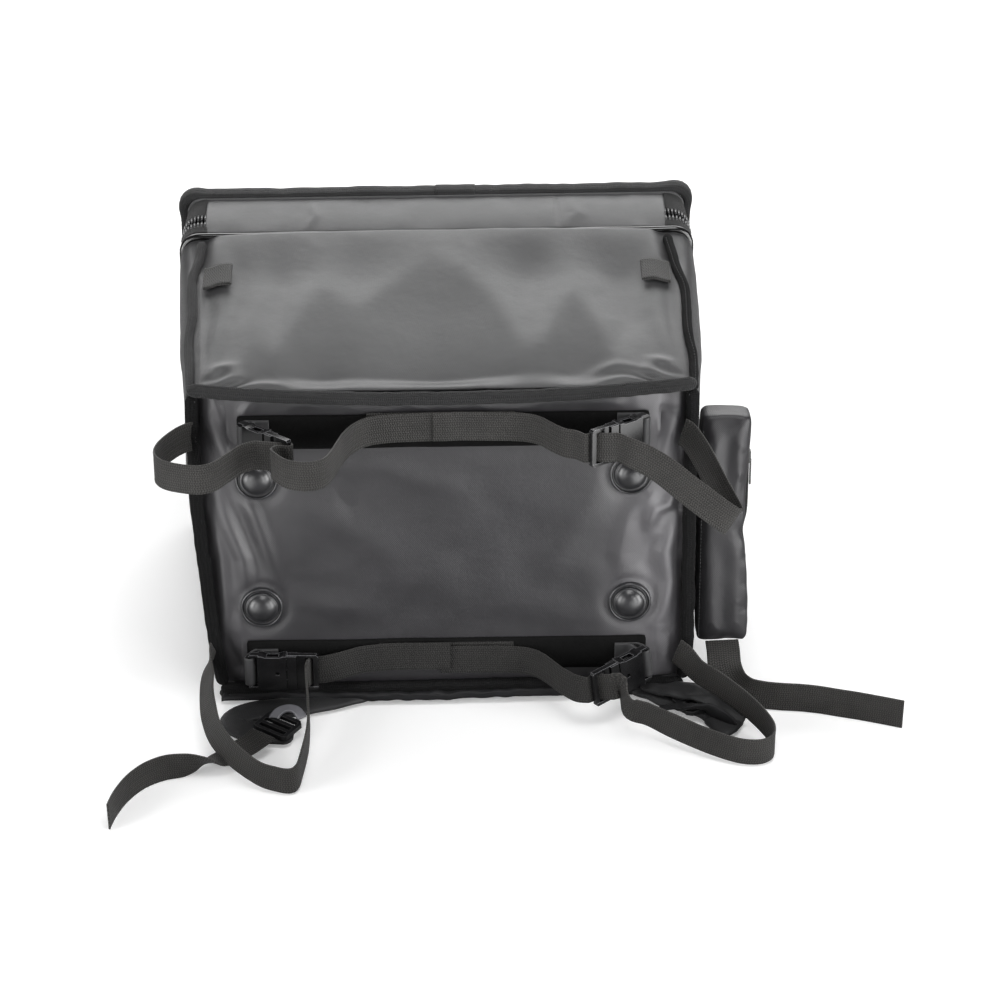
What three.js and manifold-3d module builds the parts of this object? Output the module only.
// Motorcycle tail bag, turned so that its base panel stands almost upright
// and faces -Y, its hinge wall faces +Z and its lid faces +Y.
// Millimetres, +Z up, left is -X.  Origin: on the floor, below the middle of
// the base panel's lower edge.
import * as THREE from 'three';
import Module from 'manifold-3d';
import { mergeVertices } from 'three/addons/utils/BufferGeometryUtils.js';

const wasm = await Module();
wasm.setup();

// ---------------------------------------------------------- main dimensions
const WIDTH = 440;            // box width at the base panel
const BASE_LENGTH = 288;      // base panel, floor edge to hinge-wall seam
const HINGE_WALL_DEPTH = 230; // hinge wall, seam to piping
const FLOOR_GAP = 14;         // height of the body above the floor
const BASE_LEAN = 8;          // degrees the base panel leans back
const HINGE_RISE = 9;         // degrees the hinge wall climbs towards the lid
const RIM_LEAN = 5;           // degrees the rim plane leans back
const FLARE = 16;             // each side wall leans out by this much at the rim
const SLOUCH = -3.5;          // sideways sag of the rim and lid
const FLARE_Y0 = 7;           // flare and slouch start at this y ...
const FLARE_RUN = 246;        // ... and are full this much further on
const WALL = 4;               // padded wall thickness
const GAP = 0.4;              // clearance between neighbouring pieces
const RIM_CORNER = 18;        // rim corner radius
const WEB = 27;               // webbing width
const WEB_THICK = 1.6;
const THIN_WEB = 1.2;         // thickness of the tabs and small loops

// ------------------------------------------------------------------ vectors
const rad = (degrees) => (degrees * Math.PI) / 180;
const sinCos = (degrees) => [Math.sin(rad(degrees)), Math.cos(rad(degrees))];
const add = (a, b, k = 1) => a.map((value, i) => value + b[i] * k);
const sub = (a, b) => add(a, b, -1);
const dot = (a, b) => a[0] * b[0] + a[1] * b[1] + a[2] * b[2];
const cross = (a, b) => [
  a[1] * b[2] - a[2] * b[1],
  a[2] * b[0] - a[0] * b[2],
  a[0] * b[1] - a[1] * b[0],
];
const norm = (a) => {
  const length = Math.hypot(...a);
  return a.map((value) => value / length);
};

// ------------------------------------------------------------------- frames
const [sinBase, cosBase] = sinCos(BASE_LEAN);
const [sinHinge, cosHinge] = sinCos(HINGE_RISE);
const [sinRim, cosRim] = sinCos(RIM_LEAN);

// corners of the body's side profile, [y, z]
const BASE_LOW = [0, FLOOR_GAP];
const BASE_TOP = [BASE_LENGTH * sinBase, FLOOR_GAP + BASE_LENGTH * cosBase];
const RIM_TOP = [
  BASE_TOP[0] + HINGE_WALL_DEPTH * cosHinge,
  BASE_TOP[1] + HINGE_WALL_DEPTH * sinHinge,
];
const RIM_HEIGHT = (RIM_TOP[1] - FLOOR_GAP) / cosRim;
const RIM_LOW = [RIM_TOP[0] - RIM_HEIGHT * sinRim, FLOOR_GAP];
const RIM_HALF = WIDTH / 2 + FLARE;

const world = (x, y, z) => [x, y, z];
// base frame: x across, u up the panel, o outwards
const base = (x, u, o) => [
  x,
  u * sinBase - o * cosBase,
  FLOOR_GAP + u * cosBase + o * sinBase,
];
const BASE_UP = [0, sinBase, cosBase];
const BASE_OUT = [0, -cosBase, sinBase];
// rim frame: x across, v up the rim, n outwards through the lid
const rim = (x, v, n) => [
  x + SLOUCH,
  RIM_LOW[0] + v * sinRim + n * cosRim,
  RIM_LOW[1] + v * cosRim - n * sinRim,
];
const slouched = (x, y) =>
  x + SLOUCH * Math.max(0, Math.min(1, (y - FLARE_Y0) / FLARE_RUN));
const flaredHalf = (y) => WIDTH / 2 + (FLARE * (y - FLARE_Y0)) / FLARE_RUN;

// ---------------------------------------------------------------- materials
// colour, roughness, metalness
const FINISHES = {
  coated: [0x3a393d, 0.5, 0],
  body: [0x4a4a4d, 0.45, 0],
  binding: [0x26262a, 0.85, 0],
  webbing: [0x232221, 0.8, 0],
  plastic: [0x0c0c0d, 0.3, 0],
  rubber: [0x2b2b2e, 0.45, 0],
  velour: [0x141414, 0.95, 0],
  piping: [0x070707, 0.18, 0],
  zip: [0x101011, 0.5, 0],
  metal: [0x777777, 0.35, 1],
  board: [0x202022, 0.7, 0],
  pad: [0x1a1a1c, 0.8, 0],
  grey: [0x55555a, 0.4, 0],
};
const materials = {};
for (const [name, [color, roughness, metalness]] of Object.entries(FINISHES)) {
  materials[name] = new THREE.MeshStandardMaterial({ color, roughness, metalness, name });
}

const group = new THREE.Group();
group.name = 'tail_bag';

// ----------------------------------------------------------- solid builders
// closed mesh; the faces are turned outwards if the volume comes out negative
function solid(name, material, points, faces) {
  let volume = 0;
  for (const [a, b, c] of faces) volume += dot(points[a], cross(points[b], points[c]));
  const index = faces.flatMap(([a, b, c]) => (volume > 0 ? [a, b, c] : [a, c, b]));
  const geometry = new THREE.BufferGeometry();
  geometry.setAttribute('position', new THREE.Float32BufferAttribute(points.flat(), 3));
  geometry.setIndex(index);
  geometry.computeVertexNormals();
  const mesh = new THREE.Mesh(geometry, materials[material]);
  mesh.name = name;
  group.add(mesh);
}

function wound(loop, clockwise) {
  const points = loop.map(([x, y]) => new THREE.Vector2(x, y));
  return THREE.ShapeUtils.isClockWise(points) === clockwise ? points : points.reverse();
}

// flat outline with holes, between two levels
function extrusion(outline, holes, low, high) {
  const outer = wound(outline, false);
  const inner = holes.map((hole) => wound(hole, true));
  const caps = THREE.ShapeUtils.triangulateShape(outer, inner);
  const loops = [outer, ...inner];
  const flat = loops.flat();
  const n = flat.length;
  const points = [low, high].flatMap((level) => flat.map((p) => [p.x, p.y, level]));
  const faces = caps.flatMap(([a, b, c]) => [[a, c, b], [a + n, b + n, c + n]]);
  let start = 0;
  for (const loop of loops) {
    for (let i = 0; i < loop.length; i++) {
      const a = start + i;
      const b = start + ((i + 1) % loop.length);
      faces.push([a, b, b + n], [a, b + n, a + n]);
    }
    start += loop.length;
  }
  return { points, faces };
}

function plate(name, material, outline, place, low, high, holes = []) {
  const { points, faces } = extrusion(outline, holes, low, high);
  solid(name, material, points.map((p) => place(...p)), faces);
}

// joins sections of equal count; open lofts get end caps fanned from point 0
function loft(name, material, sections, closed = false) {
  const n = sections[0].length;
  const count = sections.length;
  const faces = [];
  for (let i = 0; i < (closed ? count : count - 1); i++) {
    const a = i * n;
    const b = ((i + 1) % count) * n;
    for (let j = 0; j < n; j++) {
      const k = (j + 1) % n;
      faces.push([a + j, a + k, b + k], [a + j, b + k, b + j]);
    }
  }
  if (!closed) {
    const end = (count - 1) * n;
    for (let j = 1; j < n - 1; j++) faces.push([0, j + 1, j], [end, end + j, end + j + 1]);
  }
  solid(name, material, sections.flat(), faces);
}

// counter-clockwise from the right end of the lower edge
function roundedRect(x0, x1, y0, y1, radius, steps = 6) {
  const corners = [
    [x1 - radius, y0 + radius, -90],
    [x1 - radius, y1 - radius, 0],
    [x0 + radius, y1 - radius, 90],
    [x0 + radius, y0 + radius, 180],
  ];
  return corners.flatMap(([x, y, start]) => Array.from({ length: steps + 1 }, (_, i) => {
    const [sin, cos] = sinCos(start + (90 * i) / steps);
    return [x + radius * cos, y + radius * sin];
  }));
}

// Band along a rounded rectangle, from one level to another.  start and end
// are [half width, lower edge, upper edge].  With openTo the upper side is
// left out between -openTo and openTo.
function band(name, material, place, { start, end, levels, radius, thick, openTo }) {
  const ring = ([half, low, high], level, inset) => roundedRect(
    -half + inset, half - inset, low + inset, high - inset, Math.max(radius - inset, 3),
  ).map((p) => place(...p, level));
  const rings = [
    ring(start, levels[0], 0), ring(end, levels[1], 0),
    ring(end, levels[1], thick), ring(start, levels[0], thick),
  ];
  let sections = rings[0].map((_, i) => rings.map((points) => points[i]));
  if (openTo) {
    const half = sections.length / 2;
    sections = [...sections.slice(half), ...sections.slice(0, half)];
    const reach = (section, side) => section.map(([, y, z]) => [side * openTo + SLOUCH, y, z]);
    sections = [reach(sections[0], -1), ...sections, reach(sections.at(-1), 1)];
  }
  loft(name, material, sections, !openTo);
}

// Catmull-Rom curve through rows of any length
function spline(rows, steps) {
  const rowAt = (i) => rows[Math.max(0, Math.min(rows.length - 1, i))];
  const curve = [];
  for (let i = 0; i < rows.length - 1; i++) {
    const [p0, p1, p2, p3] = [rowAt(i - 1), rowAt(i), rowAt(i + 1), rowAt(i + 2)];
    for (let j = 0; j < steps; j++) {
      const t = j / steps;
      curve.push(p1.map((_, q) => 0.5 * (
        2 * p1[q]
        + (p2[q] - p0[q]) * t
        + (2 * p0[q] - 5 * p1[q] + 4 * p2[q] - p3[q]) * t * t
        + (3 * p1[q] - p0[q] - 3 * p2[q] + p3[q]) * t * t * t
      )));
    }
  }
  curve.push(rows.at(-1));
  return curve;
}

// flat webbing along stations [point, width direction]
function ribbon(name, stations, width, thick, steps) {
  const curve = spline(stations.map(([point, across]) => [...point, ...norm(across)]), steps);
  const centres = curve.map((row) => row.slice(0, 3));
  const sections = centres.map((centre, i) => {
    const next = centres[Math.min(i + 1, centres.length - 1)];
    const tangent = norm(sub(next, centres[Math.max(i - 1, 0)]));
    const normal = norm(cross(tangent, norm(curve[i].slice(3))));
    const across = cross(normal, tangent);
    const corner = (side, face) =>
      add(add(centre, across, (side * width) / 2), normal, (face * thick) / 2);
    return [corner(1, 1), corner(-1, 1), corner(-1, -1), corner(1, -1)];
  });
  loft(name, 'webbing', sections);
}

// ribbon stations from rows of three coordinates and an optional width direction
const onBase = (rows) => rows.map(([x, u, o, across = BASE_UP]) => [base(x, u, o), across]);
const inWorld = (rows) => rows.map(([x, y, z, across = [0, 0, 1]]) => [[x, y, z], across]);
// rows of [along the buckle, out of its face]
const inBuckle = (frame, rows) => rows.map(([x, z]) => [frame.at(x, 0, z), frame.across]);

// ---------------------------------------------------------- carved solids
function prism(outline, low, high) {
  const { points, faces } = extrusion(outline, [], low, high);
  return new wasm.Manifold(new wasm.Mesh({
    numProp: 3,
    vertProperties: new Float32Array(points.flat()),
    triVerts: new Uint32Array(faces.flat()),
  }));
}
const box = (x0, x1, y0, y1, z0, z1) =>
  prism([[x0, y0], [x1, y0], [x1, y1], [x0, y1]], z0, z1);
// box rows are x0, x1, y0, y1, z0, z1
const cut = (body, boxes) => boxes.reduce((rest, row) => rest.subtract(box(...row)), body);
const join = (body, boxes) => boxes.reduce((sum, row) => sum.add(box(...row)), body);

function carved(name, material, body, place) {
  const { vertProperties, triVerts, numProp } = body.getMesh();
  const points = [];
  for (let i = 0; i < vertProperties.length; i += numProp) {
    points.push(place(...vertProperties.slice(i, i + 3)));
  }
  const faces = [];
  for (let i = 0; i < triVerts.length; i += 3) faces.push([...triVerts.slice(i, i + 3)]);
  solid(name, material, points, faces);
}

// --------------------------------------------------------------------- base
const BINDING = 5;                     // seam binding width on each face
const BASE_BINDING_O = [-6.5, 2.5];
const PANEL_THICK = 3.6;
const BOARD_BACK = -6.4;
const BOARD_INSET = 12;
const SCREW_HOLE_R = 2.5;
const FOOT_X = 163;                    // half spacing of the feet across
const FOOT_U = [82.5, 206.5];
const footSpots = FOOT_U.flatMap((u) => [[-FOOT_X, u], [FOOT_X, u]]);

const baseRect = (inset, radius) =>
  roundedRect(-WIDTH / 2 + inset, WIDTH / 2 - inset, inset, BASE_LENGTH - inset, radius);
const screwHoles = footSpots.map(([x, u]) => Array.from({ length: 10 }, (_, i) => {
  const angle = (2 * Math.PI * i) / 10;
  return [x + SCREW_HOLE_R * Math.cos(angle), u + SCREW_HOLE_R * Math.sin(angle)];
}));
const baseEdge = [WIDTH / 2, 0, BASE_LENGTH];
band('base_binding', 'binding', base, {
  start: baseEdge, end: baseEdge, levels: BASE_BINDING_O, radius: 22, thick: BINDING,
});
plate('base_panel', 'coated', baseRect(BINDING + GAP, 17), base, -PANEL_THICK, 0, screwHoles);
plate('base_board', 'board', baseRect(BOARD_INSET, 10), base,
  BOARD_BACK, -PANEL_THICK - GAP, screwHoles);

// -------------------------------------------------------------------- walls
const CORNER = 12;                     // space for the corner binding's legs
const LEG = CORNER - GAP;
const RIM_CLEAR = 3.5;                 // walls stop this far short of the rim plane

// profile edge in the y-z plane, moved inwards by a depth
const edge = (from, to) => (depth) => {
  const [dy, dz] = [to[0] - from[0], to[1] - from[1]];
  const shift = depth / Math.hypot(dy, dz);
  return [from, to].map(([y, z]) => [y + dz * shift, z - dy * shift]);
};
const hingeEdge = edge(BASE_TOP, RIM_TOP);
const floorEdge = edge(RIM_LOW, BASE_LOW);
const baseEnd = edge(BASE_LOW, BASE_TOP)(GAP - BASE_BINDING_O[0]);
const rimEnd = edge(RIM_TOP, RIM_LOW)(RIM_CLEAR);

function meet([a, b], [c, d]) {
  const r = [b[0] - a[0], b[1] - a[1]];
  const s = [d[0] - c[0], d[1] - c[1]];
  const t = ((c[0] - a[0]) * s[1] - (c[1] - a[1]) * s[0]) / (r[0] * s[1] - r[1] * s[0]);
  return [a[0] + r[0] * t, a[1] + r[1] * t];
}
const wallProfile = (upper, lower) =>
  [meet(baseEnd, upper), meet(rimEnd, upper), meet(rimEnd, lower), meet(baseEnd, lower)];
const atX = (profile, xAt) => profile.map(([y, z]) => [slouched(xAt(y), y), y, z]);

// hinge wall above, front wall on the floor side
function crossWall(name, wallEdge, halfAt) {
  const profile = wallProfile(wallEdge(0), wallEdge(WALL));
  loft(name, 'body', [-1, 1].map((side) => atX(profile, (y) => side * halfAt(y))));
}
crossWall('hinge_wall', hingeEdge, () => WIDTH / 2 - CORNER);
crossWall('front_wall', floorEdge, (y) => flaredHalf(y) - WALL - GAP);

// L section of the corner binding, reflex corner first: inset from the side,
// depth below the hinge wall's face, 1 if the inset starts at the flared side
const CORNER_SECTION = [
  [WALL, WALL, 1], [LEG, WALL, 0], [LEG, 0, 0], [0, 0, 1], [0, LEG, 1], [WALL, LEG, 1],
];
for (const [name, side] of [['left', -1], ['right', 1]]) {
  const profile = wallProfile(hingeEdge(CORNER), floorEdge(0));
  loft(`${name}_wall`, 'body', [0, WALL].map(
    (inset) => atX(profile, (y) => side * (flaredHalf(y) - inset)),
  ));
  loft(`corner_binding_${name}`, 'binding', [baseEnd, rimEnd].map(
    (end) => CORNER_SECTION.map(([inset, depth, flared]) => {
      const [y, z] = meet(end, hingeEdge(depth));
      return [slouched(side * ((flared ? flaredHalf(y) : WIDTH / 2) - inset), y), y, z];
    }),
  ));
}

// -------------------------------------------------------------- rim and lid
const PIPING_OUT = 1;                  // piping edge outside the rim outline
const PIPING_IN = 5;                   // piping edge inside it
const PIPING_R = 3;                    // half thickness through the rim plane
const ZIP_LOW_N = [3.6, 22];           // lower zip chain, from the rim plane
const ZIP_UP_N = [22.6, 57.4];         // upper zip chain
const ZIP_THICK = 2.2;
const STRIP_HALF = 212;                // hinge strip half width
const STRIP_GAP = 0.8;                 // zips stop this far from the strip
const LID_BINDING_N = [58, 75.6];
const LID_PANEL_N = [61.6, 66.6];
const LID_HALF = 238;                  // lid binding, half width
const LID_LOW = -5;                    // lid binding, lower edge in the rim plane
const LID_RISE = 16;                   // lid binding, rise over the piping
const LID_TOP = RIM_HEIGHT + LID_RISE;
const LID_PANEL_INSET = 6.5;

const rimRect = (inset, radius) =>
  roundedRect(-RIM_HALF + inset, RIM_HALF - inset, inset, RIM_HEIGHT - inset, radius);
const pipingInner = rimRect(PIPING_IN, RIM_CORNER - 6);
loft('rim_piping', 'piping', rimRect(-PIPING_OUT, RIM_CORNER).map((outer, i) => {
  const inner = pipingInner[i];
  const centre = [(outer[0] + inner[0]) / 2, (outer[1] + inner[1]) / 2];
  const half = [(outer[0] - inner[0]) / 2, (outer[1] - inner[1]) / 2];
  return Array.from({ length: 8 }, (_, j) => {
    const [sin, cos] = sinCos(45 * j);
    return rim(centre[0] + half[0] * cos, centre[1] + half[1] * cos, PIPING_R * sin);
  });
}), true);

// [half width, lower edge, upper edge] of the zip outline at level n
const zipOutline = (n) => {
  const k = n / LID_BINDING_N[0];
  return [
    RIM_HALF - 1 + (LID_HALF - 5 - RIM_HALF) * k,
    1 - 1.62 * k,
    RIM_HEIGHT - 1 + (LID_RISE - 4.2) * k,
  ];
};
for (const [name, levels] of [['zip_lower', ZIP_LOW_N], ['zip_upper', ZIP_UP_N]]) {
  const [start, end] = levels.map(zipOutline);
  band(name, 'zip', rim, {
    start, end, levels, radius: RIM_CORNER, thick: ZIP_THICK, openTo: STRIP_HALF + STRIP_GAP,
  });
}

// closes the gap the zips leave on the hinge side
const stripN = [ZIP_LOW_N[0], ZIP_UP_N[1]];
const stripV = stripN.map((n) => zipOutline(n)[2]);
loft('hinge_strip', 'body', [-STRIP_HALF, STRIP_HALF].map((x) => [
  rim(x, stripV[0], stripN[0]), rim(x, stripV[1], stripN[1]),
  rim(x, stripV[1] - ZIP_THICK, stripN[1]), rim(x, stripV[0] - ZIP_THICK, stripN[0]),
]));

const lidEdge = [LID_HALF, LID_LOW, LID_TOP];
band('lid_binding', 'binding', rim, {
  start: lidEdge, end: lidEdge, levels: LID_BINDING_N, radius: RIM_CORNER + 4, thick: 6,
});
plate('lid_panel', 'coated', roundedRect(
  -LID_HALF + LID_PANEL_INSET, LID_HALF - LID_PANEL_INSET,
  LID_LOW + LID_PANEL_INSET, LID_TOP - LID_PANEL_INSET, RIM_CORNER - 3,
), rim, ...LID_PANEL_N);

// ----------------------------------------------------------- feet and screws
const FOOT_R = 19;
// radius, height out of the base panel
const FOOT_PROFILE = [
  [0, 0.3], [FOOT_R, 0.3], [FOOT_R, 2.4], [17.9, 3.6], [16.4, 3.2], [15.6, 1.8], [14.4, 1.8],
  [14.2, 3.6], [13.2, 4.2], [12.2, 4.6], [10.4, 6.6], [7.6, 8.7], [5.2, 9.9], [0, 9.9],
];
const SCREW_PROFILE = [
  [0, -9.2], [3.6, -9.2], [4.4, -8.2], [8, -7.9], [8, -6.9], [2, -6.9], [2, 0], [0, 0],
];
function turned(name, material, profile, segments, [x, u]) {
  const lathe = new THREE.LatheGeometry(
    profile.map(([radius, height]) => new THREE.Vector2(radius, height)), segments,
  );
  // without normals and uvs the seam and axis points merge
  lathe.deleteAttribute('normal');
  lathe.deleteAttribute('uv');
  const merged = mergeVertices(lathe, 1e-4);
  const position = merged.getAttribute('position');
  const points = [];
  for (let i = 0; i < position.count; i++) {
    points.push(base(x + position.getX(i), u + position.getZ(i), position.getY(i)));
  }
  const index = merged.getIndex().array;
  const faces = [];
  for (let i = 0; i < index.length; i += 3) {
    const face = [...index.slice(i, i + 3)];
    if (new Set(face).size === 3) faces.push(face);
  }
  solid(name, material, points, faces);
}
footSpots.forEach((spot, i) => {
  turned(`foot_${i + 1}`, 'rubber', FOOT_PROFILE, 28, spot);
  turned(`foot_screw_${i + 1}`, 'metal', SCREW_PROFILE, 16, spot);
});

// ------------------------------------------------- anchor strips and handles
const ANCHOR_HALF = [177, 15];         // half width, half height
const ANCHOR_O = [0.3, 2.1];
const HANDLE_O = 2.6;
for (const [name, u] of [['lower', 34], ['upper', 251]]) {
  const [halfX, halfU] = ANCHOR_HALF;
  plate(`anchor_strip_${name}`, 'velour',
    roundedRect(-halfX, halfX, u - halfU, u + halfU, 3, 2), base, ...ANCHOR_O);
}
// x0, x1, u0, u1
for (const [name, rect] of [['lower', [-60, 60, 20, 46]], ['upper', [-66, 62, 242, 269]]]) {
  plate(`handle_${name}`, 'webbing', roundedRect(...rect, 2, 2), base,
    HANDLE_O, HANDLE_O + WEB_THICK);
}

// ------------------------------------------------------ side-release buckles
const SOCKET_LENGTH = 34;
const BUCKLE_HALF = 17;                // half width
const BUCKLE_THICK = 11;
const SLOT = 14.3;                     // webbing slot, half width

// Frame with its origin at the joint: x towards the plug, y across, z out of
// the face.  outer is the socket's end, inner a point on the plug side.
function buckleFrame(outer, inner) {
  const end = base(...outer);
  const along = norm(sub(base(...inner), end));
  const across = norm(add(BASE_UP, along, -dot(BASE_UP, along)));
  let out = norm(cross(along, across));
  if (dot(out, BASE_OUT) < 0) out = out.map((value) => -value);
  const joint = add(end, along, SOCKET_LENGTH);
  const at = (x, y, z) => add(add(add(joint, along, x), across, y), out, z);
  return { at, across };
}
// adds the points off the x axis again, mirrored, in reverse order
const mirrored = (half) => [
  ...half,
  ...half.filter(([, y]) => y !== 0).reverse().map(([x, y]) => [x, -y]),
];
const SOCKET_OUTLINE = mirrored([
  [-SOCKET_LENGTH, -BUCKLE_HALF + 1.5], [-32.5, -BUCKLE_HALF], [-22, -BUCKLE_HALF],
  [-19, -BUCKLE_HALF + 1.2], [-6, -BUCKLE_HALF + 1.2], [-3, -BUCKLE_HALF], [0, -BUCKLE_HALF],
]);
// shoulder, springing arm with its side catch, centre guide
const PLUG_OUTLINE = mirrored([
  [28, 0], [28, BUCKLE_HALF - 1.5], [26.5, BUCKLE_HALF], [0.5, BUCKLE_HALF], [0.5, 12.9],
  [-7.2, 11.9], [-7.8, 13.1], [-15.4, 13], [-18.4, 11.4], [-21.5, 9.6], [-19.5, 7.8],
  [-15, 8.2], [-3.5, 8.6], [0.5, 7], [0.5, 2.6], [-19, 1.8], [-20.5, 0],
]);

function socket(name, frame) {
  const body = cut(prism(SOCKET_OUTLINE, -BUCKLE_THICK / 2, BUCKLE_THICK / 2), [
    [-23.5, 1, -13.4, 13.4, -3, 3],          // hollow for the prongs
    [-17.5, -7, -20, -13, -3, 3],            // side windows
    [-17.5, -7, 13, 20, -3, 3],
    [-31.6, -26.2, -SLOT, SLOT, -9, 9],      // webbing slot
    [-35, -25.2, -20, 20, -9, -3.2],         // thinner outer end
    [-35, -25.2, -20, 20, 3.2, 9],
    [-35, -31.5, -SLOT, SLOT, -9, -1.7],     // web bar
    [-35, -31.5, -SLOT, SLOT, 1.7, 9],
    [-9.5, -6.3, -1.6, 1.6, 2, 9],           // small window in the outer face
  ]);
  carved(name, 'plastic', body, frame.at);
}
function plug(name, frame) {
  const shoulder = [0.5, 9, -BUCKLE_HALF + 0.3, BUCKLE_HALF - 0.3, -4.4, 4.4];
  const body = cut(join(prism(PLUG_OUTLINE, -2.4, 2.4), [shoulder]), [
    [16.4, 23.6, -SLOT, SLOT, -9, 9],        // webbing slot
    [23.5, 30, -SLOT, SLOT, 1.9, 9],         // thinner end bar
    [23.5, 30, -SLOT, SLOT, -9, -1.9],
  ]);
  carved(name, 'plastic', body, frame.at);
}
// webbing tab: from the anchor strip, round the socket's bar and back
function buckleTab(name, frame, side, u) {
  const rows = (list) => onBase(list.map(([x, o]) => [side * x, u, o]));
  ribbon(name, [
    ...rows([[150, 3.3], [162, 3.3], [171, 4.1]]),
    ...inBuckle(frame, [
      [-36.9, -1.6], [-35.9, 1.9], [-32.9, 3.1], [-29.6, 1.8], [-28.9, -1.2], [-28.7, -4.4],
    ]),
    ...rows([[163.5, 6], [157, 5.4], [150, 5.3]]),
  ], WEB, THIN_WEB, 2);
}

// u/l: upper or lower, l/r: left or right; points in the base frame
const BUCKLES = {
  ul: { outer: [-174, 250, 13.5], inner: [-130, 250, 57], side: -1, tabU: 250 },
  ur: { outer: [174.5, 252, 13], inner: [128, 252, 48], side: 1, tabU: 252 },
  ll: { outer: [-176, 27, 16], inner: [-112, 27, 19], side: -1, tabU: 29 },
  lr: { outer: [179, 29, 13.5], inner: [129.5, 20, 48], side: 1, tabU: 30 },
};
const frames = {};
for (const [key, { outer, inner, side, tabU }] of Object.entries(BUCKLES)) {
  const frame = buckleFrame(outer, inner);
  frames[key] = frame;
  socket(`buckle_socket_${key}`, frame);
  plug(`buckle_plug_${key}`, frame);
  buckleTab(`buckle_tab_${key}`, frame, side, tabU);
}

// ------------------------------------------------------------------- straps
// each runs from the side seam in a loop, through its plug, to the handle
const DIAGONAL = norm(add([0.5, 0, 0], BASE_UP, 0.86));
const TILTED = [0.45, 0, 0.89];
const straps = {
  ul: [
    ...onBase([
      [-213.5, 250, 4.2], [-221, 250, 8], [-231, 249, 19], [-241.5, 247, 38],
      [-244.5, 245, 56], [-238, 244, 70], [-225, 244, 79], [-206, 244, 84.5],
      [-189, 245, 83.5], [-173, 247, 78], [-163, 248.5, 71],
    ]),
    ...inBuckle(frames.ul, [
      [13.2, 22], [14.4, 10], [17.6, 3.4], [20.2, 0], [22.6, -2.8], [26, -3.5], [29, -2.2],
      [29.9, 0.4], [28.2, 3.2], [25, 5], [22, 7.6], [20.8, 11.5], [22.6, 16], [31, 20],
    ]),
    ...onBase([
      [-131.5, 248.5, 85], [-116, 249, 92], [-104.5, 249.5, 90], [-97, 250, 80],
      [-91, 251, 60], [-85, 252, 38], [-76, 253, 20], [-64, 254, 9.5],
      [-46, 255, 6], [-28, 255.5, 5.9], [-8, 256, 5.9],
    ]),
  ],
  ur: [
    ...onBase([
      [210, 247, 6], [218, 241, 10], [229, 226, 24], [240, 205, 46, [0.3, 0.1, 0.95]],
      [248, 190, 63, DIAGONAL], [250.5, 185.5, 69, DIAGONAL], [248.5, 187, 74, DIAGONAL],
      [240, 193, 74, DIAGONAL], [224.3, 204.7, 70.5, DIAGONAL],
      [207, 218, 66, [0.45, 0.1, 0.87]], [191.3, 230.7, 61, [0.4, 0.1, 0.9]],
      [175, 241, 57, [0.25, 0.1, 0.95]], [160, 248, 54, [0.1, 0.12, 0.98]],
    ]),
    ...inBuckle(frames.ur, [
      [8, 12], [14, 7], [18, 3.2], [20.3, 0], [22.8, -2.8], [26.4, -3.6], [31, -3.8],
    ]),
    ...onBase([
      [112.6, 252.5, 42], [103, 253, 38], [93, 253.5, 27], [84, 254, 15], [74, 254.5, 8.5],
      [60, 255, 6.2], [40, 255.5, 5.9], [20, 256, 5.9], [2, 256.5, 5.9],
    ]),
  ],
  ll: [
    ...onBase([[-207, 46, 8.5, [0, -0.18, 0.98]], [-210, 39.5, 15.5, [0.2, -0.1, 0.96]]]),
    ...inWorld([
      [-212.3, -23, 44.5, TILTED], [-212.3, -40, 37.5, TILTED], [-209, -61, 32.5, TILTED],
      [-202, -85, 29, [0.35, 0, 0.94]], [-187, -109, 25.5, [0.2, 0, 0.98]],
      [-165, -127, 18.5], [-147, -134, 15.8], [-136, -136, 15.5], [-130, -131, 16.5],
      [-126.5, -117, 19.5], [-122.5, -92, 24], [-121.6, -70, 28], [-122.4, -50, 32.5],
      [-124, -35, 36.5],
    ]),
    ...inBuckle(frames.ll, [
      [18.4, 8], [19.6, 3.2], [20.6, 0], [22.6, -3], [26.4, -3.6], [32, -3.9],
    ]),
    ...onBase([
      [-97, 29, 13.6], [-86, 30.5, 10.2], [-75, 32, 7.4], [-60, 33.2, 6.2],
      [-42, 34.2, 6.4], [-24, 34.6, 7.4], [-6, 34.8, 8.1],
    ]),
  ],
  lr: [
    ...onBase([[207, 37, 8], [215, 31, 14.5]]),
    ...inWorld([
      [224, -17.5, 38.5], [243.5, -30, 31.5], [264, -49, 24.5], [278, -68, 19.5],
      [284.5, -84, 16.5], [282.5, -97, 15.5], [273, -104.5, 15.5], [259, -105.5, 16],
      [245, -101.5, 17], [222.5, -91, 19.5], [196, -76, 23.5],
      [176, -64, 27, [0, -0.1, 0.99]], [160, -57.5, 30, [0, -0.08, 0.99]],
    ]),
    ...inBuckle(frames.lr, [
      [8, 14], [14, 8], [17.8, 3.4], [20.3, 0], [22.8, -2.9], [26.4, -3.6], [31, -3.6],
    ]),
    ...onBase([
      [114, 20.5, 46], [103, 22, 36], [93, 24, 23], [84, 26, 13], [73, 28, 7.4],
      [58, 29.2, 6], [40, 29.8, 5.9], [20, 30, 5.9], [1.5, 30, 5.9],
    ]),
  ],
};
for (const [key, stations] of Object.entries(straps)) {
  ribbon(`strap_${key}`, stations, WEB, WEB_THICK, 3);
}

// ------------------------------------ small webbing loops on the hinge wall
const LOOP_WIDTH = 31;
const LOOP_ALONG = 160;                // distance from the base seam
function onHingeWall(x, height) {
  const y = BASE_TOP[0] + LOOP_ALONG * cosHinge - height * sinHinge;
  return [slouched(x, y), y, BASE_TOP[1] + LOOP_ALONG * sinHinge + height * cosHinge];
}
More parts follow.
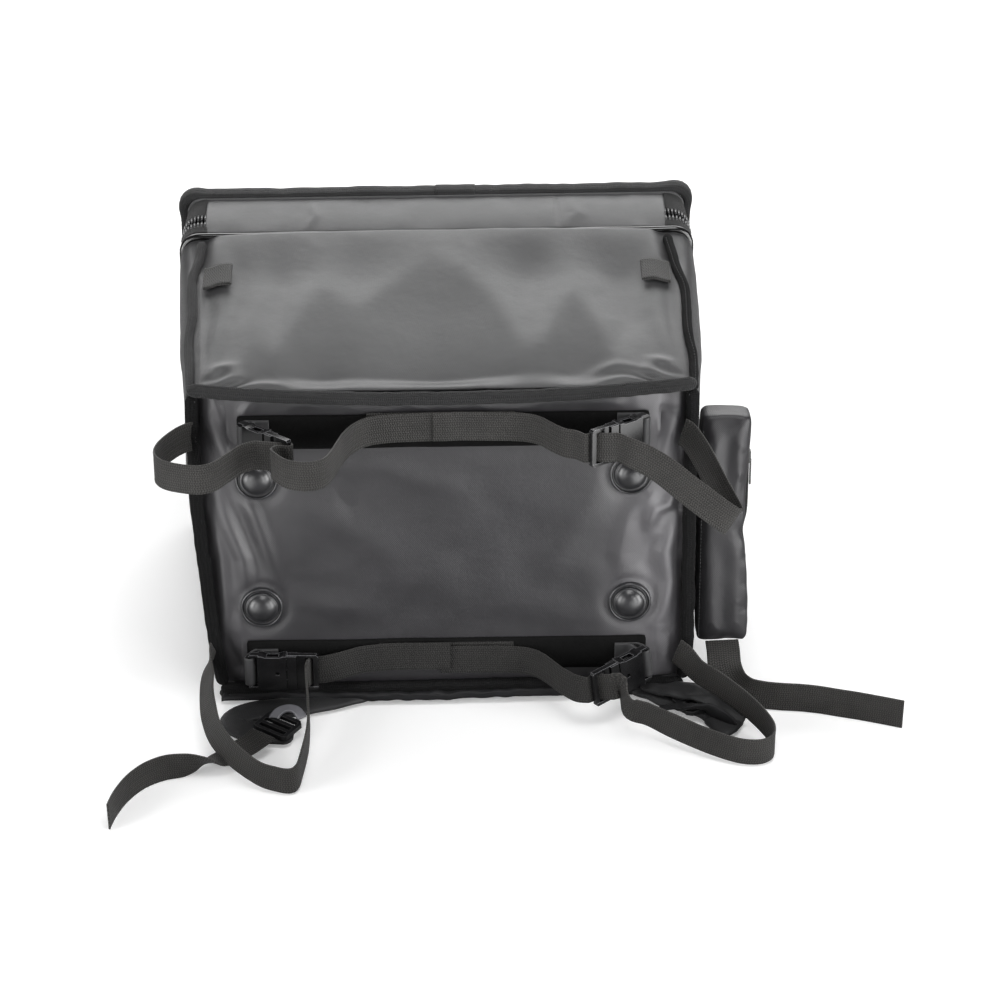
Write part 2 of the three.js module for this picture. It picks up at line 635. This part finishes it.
// outer end x, inner end x, direction inwards
for (const [name, outer, inner, inward] of [['left', -212, -187, 1], ['right', 212, 178, -1]]) {
  const middle = (outer + inner) / 2;
  const path = [                       // x, height over the wall
    [outer + inward * 3, 1.2], [middle, 1.4], [inner - inward * 3, 1.6],
    [inner - inward * 0.6, 2.8],
    [inner - inward * 3, 4.2], [middle, 4.6], [outer + inward * 3, 4.4],
  ];
  ribbon(`wall_loop_${name}`, path.map((p) => [onHingeWall(...p), [0, cosHinge, sinHinge]]),
    LOOP_WIDTH, THIN_WEB, 2);
}

// --------------------------------------- pocket on the right, in base frame
const pocketOutline = roundedRect(WIDTH / 2 + 4.5, 266, 38, 250, 7, 4);
carved('side_pocket', 'coated', cut(prism(pocketOutline, -42, -8), [
  [264.4, 270, 60, 228, -29.5, -20.5],       // recess for the zip
  [230, 258, 46, 240, -36, -13],             // inside
  [250, 270, 64, 224, -26.4, -23.6],         // opening behind the zip
]), base);
// two tapes and a closed chain in one piece; outline in u and o
plate('pocket_zip', 'zip', roundedRect(60.4, 227.6, -29.1, -20.9, 1.5, 2),
  (u, o, x) => base(x, u, o), 264.8, 266.4);
const pocketSlider = join(box(266.8, 269.2, 205, 216, -28.4, -21.6), [
  [268.6, 269.9, 184, 208, -27, -23],        // pull tab
]);
carved('pocket_slider', 'metal', cut(pocketSlider, [
  [266, 268, 208, 213, -25.8, -24.2],
]), base);

// --------------------- zip sliders with hinged pull tabs, on the left side
const SLIDER_N = (ZIP_LOW_N[1] + ZIP_UP_N[0]) / 2;
const SLIDER_X = -zipOutline(SLIDER_N)[0] - 2.4;
for (const [name, v] of [['a', 176], ['b', 140]]) {
  // x out of the left side, y up the rim, z towards the lid
  const place = (x, y, z) => rim(SLIDER_X - x, v + y, SLIDER_N + z);
  carved(`zip_slider_${name}`, 'metal', join(box(0, 2.6, -6, 6, -4.6, 4.6), [
    [2.5, 3, -6, -4, -1.2, 1.2],
    [2.5, 6.4, 3.6, 6, -1.2, 1.2],           // bridge: two posts and a bar
    [2.5, 6.4, -2, 0, -1.2, 1.2],
    [5.2, 6.4, -1, 4.6, -1.2, 1.2],
  ]), place);
  carved(`zip_pull_${name}`, 'metal', cut(box(3.4, 4.5, -24, 2.75, -3.2, 3.2), [
    [3, 5, -3.2, 0.85, -1.9, 1.9],           // eye round the bridge
    [3, 5, -21, -15, -1.7, 1.7],
  ]), place);
}

// ------------------------------- stowed carrying harness on the floor side
// pocket section in y and z
const STOW_SECTION = [[-5, 0], [226, 0], [226, 13.4], [8, 13.4], [8, 12.4], [-5, 12.4]];
// column-major: the section goes to y-z and its extrusion to x
const TO_YZ = [0, 1, 0, 0, 0, 0, 1, 0, 1, 0, 0, 0, 0, 0, 0, 1];
carved('stow_pocket', 'body', cut(prism(STOW_SECTION, -206, 206).transform(TO_YZ), [
  [-200, -126, -10, 60, 1.2, 10.6],          // mouths for the pads
  [140, 210, -10, 60, 1.2, 10.6],
]), world);

const PAD_Z = [1.6, 9];
plate('harness_pad_left', 'pad', [
  [-196, 54], [-130, 54], [-130, -46], [-136, -56], [-170, -77], [-184, -80], [-192, -72],
], world, ...PAD_Z);
plate('harness_pad_right', 'pad', [
  [146, 54], [204, 54], [212, 40], [250, 2], [254, -14], [246, -40], [228, -50],
  [200, -44], [150, -14],
], world, ...PAD_Z);

// ladder locks lie on the pads
const LOCK_Z = 9.5;
const LOCK_OUTLINE = [
  [-13, -18], [9, -18], [13, -14], [13, 14], [9, 18], [-13, 18], [-15, 14], [-15, -14],
];
function ladderLock(name, centreX, centreY, turn) {
  const [sin, cos] = sinCos(turn);
  const body = cut(prism(LOCK_OUTLINE, 0, 4), [
    [-12, -7.5, -14.2, 14.2, -1, 9],
    [-4, 0.5, -14.2, 14.2, -1, 9],
    [4.5, 9, -14.2, 14.2, -1, 9],
  ]);
  carved(name, 'grey', body, (x, y, z) =>
    [centreX + x * cos - y * sin, centreY + x * sin + y * cos, LOCK_Z + z]);
}
ladderLock('ladder_lock_left', -149, -50, 55);
ladderLock('ladder_lock_right', 223, -26, -60);

// loose webbing from the ladder locks out over the floor
ribbon('harness_web_left', inWorld([
  [-162, -67, 14.6, [0.57, -0.8, 0]], [-167, -73, 13.2, [0.5, -0.86, 0]],
  [-175, -80, 11.4, [0.35, -0.93, 0.02]], [-184, -87, 10.9, [0.3, -0.95, 0.03]],
  [-193.5, -94, 9.4, [0.25, -0.95, 0.1]], [-203, -99, 9.6, [0.2, -0.9, 0.3]],
  [-215, -105, 12.2, [0.1, -0.5, 0.85]], [-229, -110, 13.8, [0, -0.1, 1]],
  [-245.5, -114, 14.4], [-262, -124, 14.3], [-275, -141, 14.3], [-282.5, -160, 14.3],
  [-287, -178, 14.3], [-289, -190, 14.3],
]), WEB, WEB_THICK, 3);
ribbon('harness_web_right', inWorld([
  [247, 15, 47.5, [1, 0, 0]], [247.5, 4, 43, [1, 0, 0]], [248, -6, 36, [1, 0, 0]],
  [251, -14, 28.5, [0.93, 0, 0.36]], [257.5, -19, 22, [0.7, 0, 0.7]],
  [268, -22.5, 17.5, [0.3, 0, 0.95]], [283, -25, 15.5], [299, -27, 14.8],
  [314, -28.5, 14.6], [332, -32, 14.4], [349, -37, 14.2], [366, -42, 14.2],
  [383, -48, 14.2], [402, -55, 14.2],
]), WEB, WEB_THICK, 3);

export default group;
